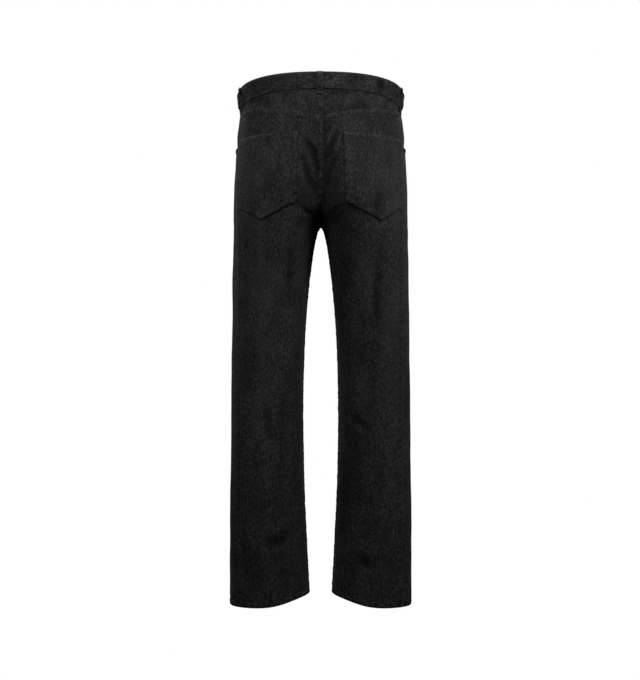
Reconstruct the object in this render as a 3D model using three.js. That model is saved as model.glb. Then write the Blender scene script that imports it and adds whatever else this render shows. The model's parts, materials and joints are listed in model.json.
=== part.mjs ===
// Straight leg jeans in black denim, filled out as if worn, with nobody inside. Millimetres, +Z up.
// The front faces -Y and the wearer's left is +X. The origin is at the middle of the waist,
// level with the middle of the waistband at the sides.

import * as THREE from 'three';

// Thicknesses of the cloth, and the gaps between pieces
const CLOTH = 1.5;
const BAND_CLOTH = 3;
const BAND_PROUD = 0.8;
const HEM_CLOTH = 3;
const HEM_PROUD = 0.6;
const LOOP_CLOTH = 2;
const POCKET_CLOTH = 1.5;
const FACING_CLOTH = 1.2;
const SEAM_GAP = 0.3;
const LAID_GAP = 0.7;
const FACING_GAP = 1.9;

// Levels of the long lines. A level is a height at the side of the garment.
const BAND_TOP = 21;
const BAND_SEAM = -23.5;
const SEAT_LEVEL = -150;
const HEM_BLEND = -940;
const HEM_LINE = -1044;
const HEM_RISE = 24;
const HEM_TURN = 12;

// Each leg is drawn round an upright axis this far from the middle plane, and no point of the
// garment lies further from it than this.
const LEG_AXIS = 95;
const FARTHEST = 400;

// How many strips of faces lie side by side across each kind of piece
const PANEL_COLUMNS = 12;
const POCKET_COLUMNS = 10;
const FLY_COLUMNS = 3;
const LOOP_COLUMNS = 2;
const HEM_COLUMNS = 26;
const LAP_COLUMNS = 3;
const HALF_BAND_COLUMNS = 20;
const BUTTON_SIDES = 20;

// The side seam lies towards the back, this far from the middle plane.
const SIDE_SEAM_AT_WAIST = 165.5;
const SIDE_SEAM = 168;

// Yoke seam heights at the middle of the back and at the side, and how sharply it dips between them
const YOKE_MIDDLE = -47;
const YOKE_SIDE = -26;
const YOKE_DIP = 2.2;

// Front pocket mouth, a quarter oval from the waistband to the side seam
const MOUTH_SWEEP = 74;
const MOUTH_DEPTH = 76.5;
const FACING_LAP = 12;

// Turns past the mouth, in radians, between which the facing comes up from behind the front leg
const FACING_RISE_FROM = 0.22;
const FACING_RISE_TO = 0.55;

// Back pocket: distances from the middle plane, and levels
const POCKET_TOP = -88;
const POCKET_INNER_TOP = 45;
const POCKET_INNER_FOOT = 49.5;
const POCKET_OUTER = 165;
const POCKET_POINT = 121;
const POCKET_INNER_LEVEL = -213;
const POCKET_POINT_LEVEL = -250;
const POCKET_OUTER_LEVEL = -223;
const POCKET_POINT_SHARE = 0.6;

// Fly, waistband lap and button
const FLY_WIDTH = 38;
const FLY_STRAIGHT = -140;
const FLY_FOOT = -178;
const FLY_CLOTH = 1.2;
const LAP = 36;
const LAP_RAMP_COLUMNS = 3;
const BUTTON_RADIUS = 8.5;
const BUTTON_OFFSET = 16;
const BUTTON_PROFILE = rows(['radius', 'height'], [
  [0, 0],
  [4, 0],
  [4, 1],
  [7, 1.2],
  [BUTTON_RADIUS, 2],
  [8.2, 3.2],
  [6.5, 3.8],
  [0, 4],
]);

// Belt loops
const LOOP_WIDTH = 13;
const LOOP_FOOT = -32.5;
const LOOP_BULGE = 3.3;

// The level sections of half the garment. outer and inner are how far the leg's outer and inner
// sides lie from the middle plane. An inner below 0 reaches past that plane, where the two halves
// are cut and sewn together. crest is where the section is deepest, front and back are its depths
// there from Y = 0, and power squares the oval.
const SECTIONS = rows(['z', 'outer', 'crest', 'innerFront', 'innerBack', 'front', 'back', 'power'], [
  [60, 175, 0, -175, -175, 114, 114, 2.3],
  [21, 172, 0, -172, -172, 112, 112, 2.33],
  [-24, 168, 0, -168, -168, 110, 111, 2.4],
  [-50, 172, 3, -172, -170, 112, 115, 2.4],
  [-90, 176, 13, -170, -160, 115, 121, 2.38],
  [-130, 178.5, 29, -154, -138, 117, 125, 2.36],
  [-170, 180.3, 48, -122, -104, 117, 126, 2.34],
  [-200, 181, 62, -86, -70, 115, 123, 2.32],
  [-222, 181.5, 72, -50, -40, 112, 119, 2.3],
  [-236, 181.8, 78, -26, -20, 110, 116, 2.29],
  [-246, 182, 82, -9, -7, 108, 114, 2.28],
  [-254, 182.2, 85, 0, 0, 107, 112, 2.27],
  [-261, 182.3, 87, 5, 5, 106, 111, 2.26],
  [-281, 182.6, 92, 10.6, 10.6, 102, 107, 2.24],
  [-323, 183.2, 99, 17.9, 17.9, 96, 100, 2.2],
  [-407, 184.7, 106, 27.4, 27.4, 85, 89, 2.2],
  [-512, 185.9, 110, 34.2, 34.2, 74, 78, 2.18],
  [-638, 187.7, 112, 37.1, 37.1, 64, 67, 2.15],
  [-764, 189, 112, 35.4, 35.4, 59, 62, 2.1],
  [-890, 190, 110, 30.3, 30.3, 55, 58, 2.1],
  [-1016, 190.6, 107, 23.7, 23.7, 53, 55, 2.1],
  [-1060, 190, 106, 22, 22, 53, 55, 2.1],
]);

// The waist tips: its back is lifted and its front is dropped by these, fading to nothing below.
const LEANS = rows(['z', 'front', 'back'], [
  [60, 30, 26],
  [21, 28, 28],
  [-24, 22, 37],
  [-50, 19, 30],
  [-90, 10, 14],
  [-140, 0, 0],
  [-1060, 0, 0],
]);

// The levels of a leg panel's rows of points, close together where the seat turns into two legs
const SEAT_ROWS = [
  SEAT_LEVEL, -170, -190, -206, -219, -229, -237, -243.5, -249, -252.5, -256, -262, -271, -285,
];
const LEG_ROWS = [
  -305, -335, -370, -410, -455, -505, -555, -605, -655, -705, -760, -820, -880, HEM_BLEND, -990, -1030,
];

// The largest folds, as troughs along straight lines. face is 1 on the back and -1 on the front, and
// side is 1 on the wearer's left. x is measured from the middle plane, and width is half a trough.
const FOLDS = rows(['face', 'side', 'fromX', 'fromZ', 'toX', 'toZ', 'width', 'depth'], [
  [1, 1, 36, -88, 8, -150, 11, 3.5],
  [1, 1, 42, -126, 9, -198, 12, 4.5],
  [1, -1, 35, -74, 12, -132, 11, 3.5],
  [1, -1, 27, -128, 8, -192, 12, 5],
  [1, 1, 44, -222, 12, -244, 11, 3],
  [1, -1, 60, -236, 14, -250, 12, 3],
  [1, 1, 118, -600, 102, -706, 16, 3],
  [1, -1, 96, -560, 112, -680, 16, 3],
  [1, 1, 70, -330, 104, -430, 20, 2.5],
  [1, -1, 92, -300, 70, -420, 20, 3],
  [1, 1, 130, -780, 110, -900, 18, 2.5],
  [1, -1, 76, -800, 90, -930, 18, 2.5],
  [-1, 1, 60, -205, 10, -238, 12, 4],
  [-1, -1, 66, -200, 12, -236, 12, 4],
  [-1, 1, 92, -240, 22, -258, 13, 3.5],
  [-1, -1, 88, -244, 20, -260, 13, 3.5],
  [-1, 1, 60, -640, 130, -612, 18, 3],
  [-1, -1, 64, -632, 126, -604, 18, 3],
  [-1, 1, 100, -700, 112, -840, 20, 2.5],
  [-1, -1, 108, -720, 96, -850, 20, 2.5],
]);

const DENIM = finish(0x1c1c1e, 0.92, 0);
const POCKET_DENIM = finish(0x222224, 0.92, 0);
const METAL = finish(0x3a3937, 0.38, 0.9);

function rows(columns, numbers) {
  return numbers.map((row) => Object.fromEntries(columns.map((name, i) => [name, row[i]])));
}

function finish(color, roughness, metalness) {
  return new THREE.MeshStandardMaterial({ color, roughness, metalness });
}

// Reads a column of a table at a height, on a smooth curve through its rows that never overshoots.
function read(table, column, z) {
  const last = table.length - 1;
  const slope = (k) => (table[k + 1][column] - table[k][column]) / (table[k + 1].z - table[k].z);
  const tangent = (k) => {
    const above = slope(Math.max(k - 1, 0));
    const below = slope(Math.min(k, last - 1));
    return above * below > 0 ? (2 * above * below) / (above + below) : 0;
  };
  let i = 0;
  while (i < last - 1 && z < table[i + 1].z) {
    i += 1;
  }
  const gap = table[i + 1].z - table[i].z;
  const t = THREE.MathUtils.clamp((z - table[i].z) / gap, 0, 1);
  const s = 1 - t;
  const ends = table[i][column] * (1 + 2 * t) * s * s + table[i + 1][column] * (3 - 2 * t) * t * t;
  return ends + gap * (tangent(i) * t * s * s - tangent(i + 1) * t * t * s);
}

function section(level, face) {
  return {
    outer: read(SECTIONS, 'outer', level),
    inner: read(SECTIONS, face === 'back' ? 'innerBack' : 'innerFront', level),
    crest: read(SECTIONS, 'crest', level),
    depth: read(SECTIONS, face, level),
    power: read(SECTIONS, 'power', level),
  };
}

// How far out x lies between a section's crest, 0, and its outer or inner side, 1.
function shareFromCrest(x, oval) {
  if (x > oval.crest) {
    return (x - oval.crest) / (oval.outer - oval.crest);
  }
  return (oval.crest - x) / (oval.crest - oval.inner);
}

// The point of the left half's level outline that a ray from the leg's axis meets. An angle of 0
// points outward and a quarter turn points back. On the front, angles are negative.
function outline(angle, level) {
  const oval = section(level, Math.sin(angle) < 0 ? 'front' : 'back');
  const cos = Math.cos(angle);
  const sin = Math.sin(angle);
  let near = 0;
  let far = FARTHEST;
  for (let step = 0; step < 44; step += 1) {
    const reach = (near + far) / 2;
    const across = shareFromCrest(LEG_AXIS + reach * cos, oval) ** oval.power;
    const deep = Math.abs((reach * sin) / oval.depth) ** oval.power;
    if (across + deep < 1) {
      near = reach;
    } else {
      far = reach;
    }
  }
  return { x: LEG_AXIS + near * cos, y: near * sin, depth: oval.depth };
}

// The angle at which the outline lies a given distance from the middle plane.
function angleAt(x, level, face) {
  const oval = section(level, face);
  const across = Math.min(shareFromCrest(x, oval), 1) ** oval.power;
  const y = oval.depth * (1 - across) ** (1 / oval.power);
  return Math.atan2(face === 'back' ? y : -y, x - LEG_AXIS);
}

function foldDepth(side, x, y, z) {
  let total = 0;
  for (const fold of FOLDS) {
    if (fold.side === side && fold.face * y > 0) {
      const runX = fold.toX - fold.fromX;
      const runZ = fold.toZ - fold.fromZ;
      const along = ((x - fold.fromX) * runX + (z - fold.fromZ) * runZ) / (runX ** 2 + runZ ** 2);
      const t = THREE.MathUtils.clamp(along, 0, 1);
      const away = Math.hypot(x - fold.fromX - t * runX, z - fold.fromZ - t * runZ);
      total += fold.depth * Math.exp(-((away / fold.width) ** 2));
    }
  }
  return total;
}

// A point of the garment's outer face. side is 1 on the wearer's left and -1 on the right.
function skin(side, angle, level, folded = true) {
  const { x, y, depth } = outline(angle, level);
  const lean = read(LEANS, y > 0 ? 'back' : 'front', level);
  const z = level + (lean * y) / depth;
  const sunk = folded ? foldDepth(side, x, y, z) * Math.abs(Math.sin(angle)) : 0;
  return new THREE.Vector3(side * x, y - Math.sign(y) * sunk, z);
}

function outward(side, angle, level, folded = true) {
  const turn = 0.004;
  const rise = 0.5;
  const across = skin(side, angle + turn, level, folded).sub(skin(side, angle - turn, level, folded));
  const up = skin(side, angle, level + rise, folded).sub(skin(side, angle, level - rise, folded));
  return across.cross(up).multiplyScalar(side).normalize();
}

// The angle that covers a length along the cloth at a level.
function turnFor(length, angle, level) {
  const step = 0.01;
  return (length * step) / skin(1, angle + step, level).distanceTo(skin(1, angle, level));
}

function sideSeam(level) {
  const t = THREE.MathUtils.smoothstep(-level, -BAND_SEAM, -SEAT_LEVEL);
  return angleAt(THREE.MathUtils.lerp(SIDE_SEAM_AT_WAIST, SIDE_SEAM, t), level, 'back');
}

// The panel's edge at the middle of the back or front, and below the crotch at the inseam.
function middleSeam(level, face) {
  const edge = SEAM_GAP / 2;
  const limit = Math.PI - edge / LEG_AXIS;
  const angle = angleAt(edge, level, face);
  return face === 'back' ? Math.min(angle, limit) : Math.max(angle, -limit);
}

function pocketMouth(level, lap) {
  const down = Math.min((BAND_SEAM - level) / (MOUTH_DEPTH + lap), 1);
  const sweep = THREE.MathUtils.degToRad(MOUTH_SWEEP + lap) * Math.sqrt(1 - down ** 2);
  return sideSeam(level) - sweep;
}

function yokeSeam(angle) {
  let low = SEAT_LEVEL;
  let high = BAND_SEAM;
  for (let step = 0; step < 30; step += 1) {
    const level = (low + high) / 2;
    const { x, y, depth } = outline(angle, level);
    const z = level + (read(LEANS, 'back', level) * y) / depth;
    const rise = 1 - Math.min(Math.max(1 - x / SIDE_SEAM, 0) ** YOKE_DIP, 1);
    if (z < YOKE_MIDDLE + (YOKE_SIDE - YOKE_MIDDLE) * rise) {
      low = level;
    } else {
      high = level;
    }
  }
  return (low + high) / 2;
}

function hemLine(angle) {
  return HEM_LINE + HEM_RISE * ((1 - Math.cos(angle)) / 2) ** 2.5;
}

// Joins an outer and an inner grid of points into one closed solid with its faces outward.
function wall(outer, inner, closed) {
  const wide = outer[0].length;
  const tall = outer.length;
  const spans = closed ? wide : wide - 1;
  const points = [...outer.flat(), ...inner.flat()];
  const out = (r, c) => r * wide + (c % wide);
  const into = (r, c) => wide * tall + out(r, c);
  const faces = [];
  const quad = (a, b, c, d) => {
    const across = points[a].distanceTo(points[c]) <= points[b].distanceTo(points[d]);
    faces.push(...(across ? [[a, b, c], [a, c, d]] : [[a, b, d], [b, c, d]]));
  };
  for (let c = 0; c < spans; c += 1) {
    for (let r = 0; r < tall - 1; r += 1) {
      quad(out(r, c), out(r + 1, c), out(r + 1, c + 1), out(r, c + 1));
      quad(into(r, c + 1), into(r + 1, c + 1), into(r + 1, c), into(r, c));
    }
    quad(out(0, c), out(0, c + 1), into(0, c + 1), into(0, c));
    quad(out(tall - 1, c + 1), out(tall - 1, c), into(tall - 1, c), into(tall - 1, c + 1));
  }
  for (let r = 0; r < tall - 1 && !closed; r += 1) {
    quad(out(r + 1, 0), out(r, 0), into(r, 0), into(r + 1, 0));
    quad(out(r, spans), out(r + 1, spans), into(r + 1, spans), into(r, spans));
  }
  const volume = faces.reduce((sum, [a, b, c]) => {
    return sum + points[a].dot(new THREE.Vector3().crossVectors(points[b], points[c]));
  }, 0);
  const turned = volume < 0 ? faces.map(([a, b, c]) => [a, c, b]) : faces;
  const geometry = new THREE.BufferGeometry().setFromPoints(points);
  geometry.setIndex(turned.flat());
  geometry.computeVertexNormals();
  return geometry;
}

// Cuts a piece of cloth from the garment's skin. place(u, level) gives the side and angle of a
// column, levels are the rows from top to bottom, each a function of angle and u, out is how far
// the outer face stands off the skin, a number or a function, and thick is the wall. A folded
// piece follows the skin's folds, and any other bridges them.
function cloth(place, levels, columns, { out = 0, thick = CLOTH, closed = false, folded = true } = {}) {
  const outer = [];
  const inner = [];
  for (const [r, levelOf] of levels.entries()) {
    const outerRow = [];
    const innerRow = [];
    for (let c = 0; c < columns + (closed ? 0 : 1); c += 1) {
      const u = c / columns;
      const v = r / (levels.length - 1);
      let level = levelOf(0, u);
      for (let pass = 0; pass < 4; pass += 1) {
        level = levelOf(place(u, level).angle, u);
      }
      const { side, angle } = place(u, level);
      const point = skin(side, angle, level, folded);
      const normal = outward(side, angle, level, folded);
      const stand = typeof out === 'function' ? out(u, v, angle, level) : out;
      outerRow.push(point.clone().addScaledVector(normal, stand));
      innerRow.push(point.clone().addScaledVector(normal, stand - thick));
    }
    outer.push(outerRow);
    inner.push(innerRow);
  }
  return wall(outer, inner, closed);
}

// Columns from an outer edge to the seam at the middle. Where that seam swings under the crotch to
// the inseam, half a turn from outward, the columns near it follow it.
function panelColumns(side, face, from) {
  const inseam = face === 'back' ? Math.PI : -Math.PI;
  return (u, level) => {
    const start = from(level);
    const short = inseam - middleSeam(level, face);
    return { side, angle: start + (inseam - start) * u - short * u ** 2 };
  };
}

function atEdge(seam, clear) {
  return (level) => {
    const angle = seam(level);
    return angle + Math.sign(clear) * turnFor(Math.abs(clear), angle, level);
  };
}

// Rows that start on a sloping top line, level out at the seat and end on the sloping hem.
function legRows(levels, top) {
  const first = levels[0];
  const last = levels[levels.length - 1];
  return levels.map((level) => (angle) => {
    if (level > SEAT_LEVEL) {
      return SEAT_LEVEL + ((level - SEAT_LEVEL) * (top(angle) - SEAT_LEVEL)) / (first - SEAT_LEVEL);
    }
    if (level < HEM_BLEND) {
      const foot = hemLine(angle) + HEM_TURN + SEAM_GAP;
      return HEM_BLEND + ((level - HEM_BLEND) * (foot - HEM_BLEND)) / (last - HEM_BLEND);
    }
    return level;
  });
}

function frontLeg(side) {
  const mouthRows = [0, 12, 24, 36, 47, 57, 66, 74, 82, 90].map((turn) => {
    return BAND_SEAM - SEAM_GAP / 2 - MOUTH_DEPTH * Math.sin(THREE.MathUtils.degToRad(turn));
  });
  const levels = [...mouthRows, -115, -132, ...SEAT_ROWS, ...LEG_ROWS];
  const outerEdge = atEdge((level) => pocketMouth(level, 0), -SEAM_GAP / 2);
  const place = panelColumns(side, 'front', outerEdge);
  return cloth(place, legRows(levels, () => mouthRows[0]), PANEL_COLUMNS);
}

function backLeg(side) {
  const levels = [-40, -60, -82, -105, -128, ...SEAT_ROWS, ...LEG_ROWS];
  const place = panelColumns(side, 'back', atEdge(sideSeam, SEAM_GAP / 2));
  return cloth(place, legRows(levels, (angle) => yokeSeam(angle) - SEAM_GAP / 2), PANEL_COLUMNS);
}

function yoke(side) {
  const place = panelColumns(side, 'back', atEdge(sideSeam, SEAM_GAP / 2));
  const top = BAND_SEAM - SEAM_GAP / 2;
  const levels = [0, 0.34, 0.67, 1].map((share) => (angle) => {
    return THREE.MathUtils.lerp(top, yokeSeam(angle) + SEAM_GAP / 2, share);
  });
  return cloth(place, levels, PANEL_COLUMNS);
}

function pocketFacing(side) {
  const top = BAND_SEAM - SEAM_GAP / 2;
  const levels = [0, 18, 36, 54, 70, 80].map((turn) => () => {
    return top - (MOUTH_DEPTH + FACING_LAP) * Math.sin(THREE.MathUtils.degToRad(turn));
  });
  const outerEdge = atEdge(sideSeam, -SEAM_GAP / 2);
  const place = (u, level) => {
    return { side, angle: THREE.MathUtils.lerp(outerEdge(level), pocketMouth(level, FACING_LAP), u) };
  };
  const out = (u, v, angle, level) => {
    const shown = angle - pocketMouth(level, 0);
    const free = u === 0 ? 0 : THREE.MathUtils.smoothstep(shown, FACING_RISE_FROM, FACING_RISE_TO);
    return -FACING_CLOTH * free - (CLOTH + FACING_GAP) * (1 - free);
  };
  return cloth(place, levels, PANEL_COLUMNS, { out, thick: FACING_CLOTH });
}

function backPocket(side) {
  const share = POCKET_POINT_SHARE;
  const foot = (u) => {
    if (u <= share) {
      return THREE.MathUtils.lerp(POCKET_INNER_LEVEL, POCKET_POINT_LEVEL, u / share);
    }
    return THREE.MathUtils.lerp(POCKET_POINT_LEVEL, POCKET_OUTER_LEVEL, (u - share) / (1 - share));
  };
  const place = (u, level) => {
    const down = (POCKET_TOP - level) / (POCKET_TOP - POCKET_INNER_LEVEL);
    const inner = THREE.MathUtils.lerp(POCKET_INNER_TOP, POCKET_INNER_FOOT, down);
    const x = u <= share
      ? THREE.MathUtils.lerp(inner, POCKET_POINT, u / share)
      : THREE.MathUtils.lerp(POCKET_POINT, POCKET_OUTER, (u - share) / (1 - share));
    return { side, angle: angleAt(x, level, 'back') };
  };
  const levels = [0, 0.08, 0.2, 0.34, 0.48, 0.62, 0.76, 0.88, 1].map((v) => (angle, u) => {
    return THREE.MathUtils.lerp(POCKET_TOP, foot(u), v);
  });
  const laid = { out: LAID_GAP + POCKET_CLOTH, thick: POCKET_CLOTH, folded: false };
  return cloth(place, levels, POCKET_COLUMNS, laid);
}

function fly() {
  const width = (level) => {
    const down = THREE.MathUtils.clamp((FLY_STRAIGHT - level) / (FLY_STRAIGHT - FLY_FOOT), 0, 1);
    return SEAM_GAP + FLY_WIDTH * Math.sqrt(1 - down ** 2);
  };
  const place = (u, level) => {
    const x = THREE.MathUtils.lerp(SEAM_GAP / 2, width(level), u);
    return { side: 1, angle: angleAt(x, level, 'front') };
  };
  const foot = FLY_FOOT + 1;
  const levels = [BAND_SEAM - SEAM_GAP, -50, -75, -100, -122, FLY_STRAIGHT, -155, -167, -174, foot];
  const laid = { out: LAID_GAP + FLY_CLOTH, thick: FLY_CLOTH };
  return cloth(place, levels.map((level) => () => level), FLY_COLUMNS, laid);
}

// The waistband runs from its underlap, round the right side, the back and the left side, to its
// end at the middle of the front, where it covers the underlap.
function waistband() {
  const columns = LAP_COLUMNS + 2 * HALF_BAND_COLUMNS;
  const crowding = 0.06;
  const halfWay = (share, level) => {
    const eased = share - crowding * Math.sin(2 * Math.PI * share);
    return THREE.MathUtils.lerp(angleAt(0, level, 'front'), angleAt(0, level, 'back'), eased);
  };
  const place = (u, level) => {
    const column = u * columns;
    if (column < LAP_COLUMNS) {
      return { side: 1, angle: angleAt(LAP * (1 - column / LAP_COLUMNS), level, 'front') };
    }
    const share = (column - LAP_COLUMNS) / HALF_BAND_COLUMNS;
    return share <= 1
      ? { side: -1, angle: halfWay(share, level) }
      : { side: 1, angle: halfWay(2 - share, level) };
  };
  const out = (u) => {
    const past = (u * columns - LAP_COLUMNS) / LAP_RAMP_COLUMNS;
    const under = 1 - THREE.MathUtils.smoothstep(past, 0, 1);
    return BAND_PROUD - under * (BAND_CLOTH + LAID_GAP);
  };
  const middle = (BAND_TOP + BAND_SEAM) / 2;
  const levels = [BAND_TOP, middle, BAND_SEAM + SEAM_GAP / 2].map((level) => () => level);
  return cloth(place, levels, columns, { out, thick: BAND_CLOTH });
}

// A belt loop is sewn down near the band's top and below its seam, and stands off between.
function beltLoop(columnAt) {
  const bent = rows(['level', 'lift'], [
    [BAND_TOP, 0],
    [BAND_TOP - 6, 0],
    [BAND_TOP - 12, 1],
    [BAND_TOP - 22, 1],
    [BAND_SEAM + 8, 1],
    [BAND_SEAM + 1, 0.45],
    [BAND_SEAM - 4, 0],
    [LOOP_FOOT, 0],
  ]);
  const out = (u, v) => {
    const row = bent[Math.round(v * (bent.length - 1))];
    const carrier = row.level > BAND_SEAM ? BAND_PROUD : 0;
    return carrier + LAID_GAP + LOOP_CLOTH + row.lift * LOOP_BULGE;
  };
  return cloth(columnAt, bent.map((row) => () => row.level), LOOP_COLUMNS, { out, thick: LOOP_CLOTH });
}

function loopAtAngle(side, degrees) {
  const middle = THREE.MathUtils.degToRad(degrees);
  return (u, level) => ({ side, angle: middle + turnFor(LOOP_WIDTH, middle, level) * (u - 0.5) });
}

function loopAtBack(centre) {
  return (u, level) => {
    const x = centre + LOOP_WIDTH * (u - 0.5);
    return { side: x < 0 ? -1 : 1, angle: angleAt(Math.abs(x), level, 'back') };
  };
}

function hem(side) {
  const place = (u) => ({ side, angle: 2 * Math.PI * u });
  const levels = [HEM_TURN, HEM_TURN / 2, 0].map((rise) => (angle) => hemLine(angle) + rise);
  return cloth(place, levels, HEM_COLUMNS, { out: HEM_PROUD, thick: HEM_CLOTH, closed: true });
}

function waistButton() {
  const profile = BUTTON_PROFILE.map(({ radius, height }) => new THREE.Vector2(radius, height));
  const geometry = new THREE.LatheGeometry(profile, BUTTON_SIDES);
  const button = new THREE.Mesh(geometry, METAL);
  const level = (BAND_TOP + BAND_SEAM) / 2;
  const angle = angleAt(BUTTON_OFFSET, level, 'front');
  const normal = outward(1, angle, level);
  button.position.copy(skin(1, angle, level)).addScaledVector(normal, BAND_PROUD + LAID_GAP);
  button.quaternion.setFromUnitVectors(new THREE.Vector3(0, 1, 0), normal);
  button.name = 'waist_button';
  return button;
}

const jeans = new THREE.Group();

function sew(name, geometry, material = DENIM) {
  const piece = new THREE.Mesh(geometry, material);
  piece.name = name;
  jeans.add(piece);
}

for (const [word, side] of [['left', 1], ['right', -1]]) {
  sew(`${word}_front_leg`, frontLeg(side));
  sew(`${word}_back_leg`, backLeg(side));
  sew(`${word}_yoke`, yoke(side));
  sew(`${word}_back_pocket`, backPocket(side), POCKET_DENIM);
  sew(`${word}_pocket_facing`, pocketFacing(side));
  sew(`${word}_hem`, hem(side));
  sew(`loop_${word}_side`, beltLoop(loopAtAngle(side, 26)));
  sew(`loop_${word}_front`, beltLoop(loopAtAngle(side, -80)));
}
sew('loop_back', beltLoop(loopAtBack(2)));
sew('waistband', waistband());
sew('fly', fly());
jeans.add(waistButton());

export default jeans;
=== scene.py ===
import json
import math

import bmesh
import bpy
import numpy as np
from mathutils import Matrix, Vector
from mathutils.bvhtree import BVHTree
from mathutils.kdtree import KDTree

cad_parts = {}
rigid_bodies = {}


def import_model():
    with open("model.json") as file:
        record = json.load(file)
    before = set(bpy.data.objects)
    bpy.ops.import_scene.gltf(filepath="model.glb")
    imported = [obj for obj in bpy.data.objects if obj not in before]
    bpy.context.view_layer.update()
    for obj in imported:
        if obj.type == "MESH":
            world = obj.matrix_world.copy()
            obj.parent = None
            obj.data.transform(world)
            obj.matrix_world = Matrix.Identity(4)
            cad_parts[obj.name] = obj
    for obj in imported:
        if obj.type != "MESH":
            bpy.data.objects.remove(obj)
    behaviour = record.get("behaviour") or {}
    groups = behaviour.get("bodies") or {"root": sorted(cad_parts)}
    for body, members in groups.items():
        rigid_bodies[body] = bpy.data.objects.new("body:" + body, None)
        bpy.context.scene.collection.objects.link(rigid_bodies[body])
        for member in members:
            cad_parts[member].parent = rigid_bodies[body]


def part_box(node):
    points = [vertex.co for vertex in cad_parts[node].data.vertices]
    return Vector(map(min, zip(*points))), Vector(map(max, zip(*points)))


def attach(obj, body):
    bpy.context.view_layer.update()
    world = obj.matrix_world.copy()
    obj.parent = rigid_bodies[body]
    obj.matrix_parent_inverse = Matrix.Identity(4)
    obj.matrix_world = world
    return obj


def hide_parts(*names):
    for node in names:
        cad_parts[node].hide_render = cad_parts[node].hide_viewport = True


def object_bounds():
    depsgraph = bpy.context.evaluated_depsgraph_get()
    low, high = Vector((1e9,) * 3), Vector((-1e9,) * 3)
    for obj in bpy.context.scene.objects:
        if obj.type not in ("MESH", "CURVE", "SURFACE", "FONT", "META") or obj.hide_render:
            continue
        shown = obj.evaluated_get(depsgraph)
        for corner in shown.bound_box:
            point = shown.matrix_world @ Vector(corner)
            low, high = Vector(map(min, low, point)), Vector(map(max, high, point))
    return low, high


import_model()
cad_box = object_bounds()
scene = bpy.context.scene
MM = 0.001
SAME_PLACE = 0.01 * MM
TINY = 1e-12


# Camera
# The photograph is taken from behind, level with the thighs, with a longish lens. The jeans hang
# a little to the right of the picture's middle.
CAMERA_DISTANCE = 2.6
CAMERA_HEIGHT = -0.491
CAMERA_ASIDE = 1.5 * MM
SENSOR = 36
FRAME_TALL = 680
FOCAL_LENGTH_IN_PIXELS = 1238.1

lens = bpy.data.cameras.new("camera")
lens.sensor_fit = "VERTICAL"
lens.sensor_height = SENSOR
lens.lens = FOCAL_LENGTH_IN_PIXELS * SENSOR / FRAME_TALL
camera = bpy.data.objects.new("camera", lens)
camera.location = (CAMERA_ASIDE, CAMERA_DISTANCE, CAMERA_HEIGHT)
camera.rotation_euler = (math.radians(90), 0, math.radians(180))
scene.collection.objects.link(camera)
scene.camera = camera


# Studio
# A white sweep with nothing to cast a shadow on: the floor lies well below the hems, and both it
# and the air behind show white while they light the cloth only softly.
FLOOR_DROP = 0.75
FLOOR_SIZE = 12
WHITE = (1, 1, 1, 1)
PAPER_GREY = (0.1, 0.1, 0.1, 1)
SKY_GLOW = 0.07
LIGHTS_AIM = (0, 0, 0.1)
# Name, place, size, watts.
SOFTBOXES = (
    ("softbox_key", (-1.4, 1.05, 0.95), 0.7, 34),
    ("softbox_fill", (1.1, 1.5, 0.95), 0.9, 21),
    ("softbox_top", (0, 0.9, 1.3), 1.2, 6),
    ("softbox_front_left", (1.4, -1.2, 0.95), 0.9, 30),
    ("softbox_front_right", (-1.1, -1.5, 0.95), 0.9, 21),
)


def backdrop(tree, seen_kind, lighting_kind, end_kind):
    """Shows plain white to the camera, and lights the cloth by a second shader, which it returns."""
    nodes, links = tree.nodes, tree.links
    nodes.clear()
    kinds = ("LightPath", seen_kind, lighting_kind, "MixShader", end_kind)
    path, seen, lighting, mix, end = (nodes.new("ShaderNode" + kind) for kind in kinds)
    seen.inputs["Color"].default_value = WHITE
    links.new(path.outputs["Is Camera Ray"], mix.inputs[0])
    links.new(lighting.outputs[0], mix.inputs[1])
    links.new(seen.outputs[0], mix.inputs[2])
    links.new(mix.outputs[0], end.inputs["Surface"])
    return lighting


world = bpy.data.worlds.new("studio")
world.use_nodes = True
scene.world = world
sky = backdrop(world.node_tree, "Background", "Background", "OutputWorld")
sky.inputs["Strength"].default_value = SKY_GLOW

floor_paper = bpy.data.materials.new("floor_paper")
floor_paper.use_nodes = True
bounce = backdrop(floor_paper.node_tree, "Emission", "BsdfDiffuse", "OutputMaterial")
bounce.inputs["Color"].default_value = PAPER_GREY

floor_mesh = bpy.data.meshes.new("floor")
paper = bmesh.new()
bmesh.ops.create_grid(paper, x_segments=1, y_segments=1, size=FLOOR_SIZE)
bmesh.ops.translate(paper, verts=paper.verts, vec=(0, 0, cad_box[0][2] - FLOOR_DROP))
paper.to_mesh(floor_mesh)
paper.free()
floor_mesh.materials.append(floor_paper)
floor = bpy.data.objects.new("floor", floor_mesh)
scene.collection.objects.link(floor)

for name, place, size, watts in SOFTBOXES:
    light = bpy.data.lights.new(name, "AREA")
    light.size = size
    light.energy = watts
    lamp = bpy.data.objects.new(name, light)
    lamp.location = place
    lamp.rotation_euler = (Vector(LIGHTS_AIM) - lamp.location).to_track_quat("-Z", "Y").to_euler()
    scene.collection.objects.link(lamp)
scene.view_settings.view_transform = "Standard"


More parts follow.
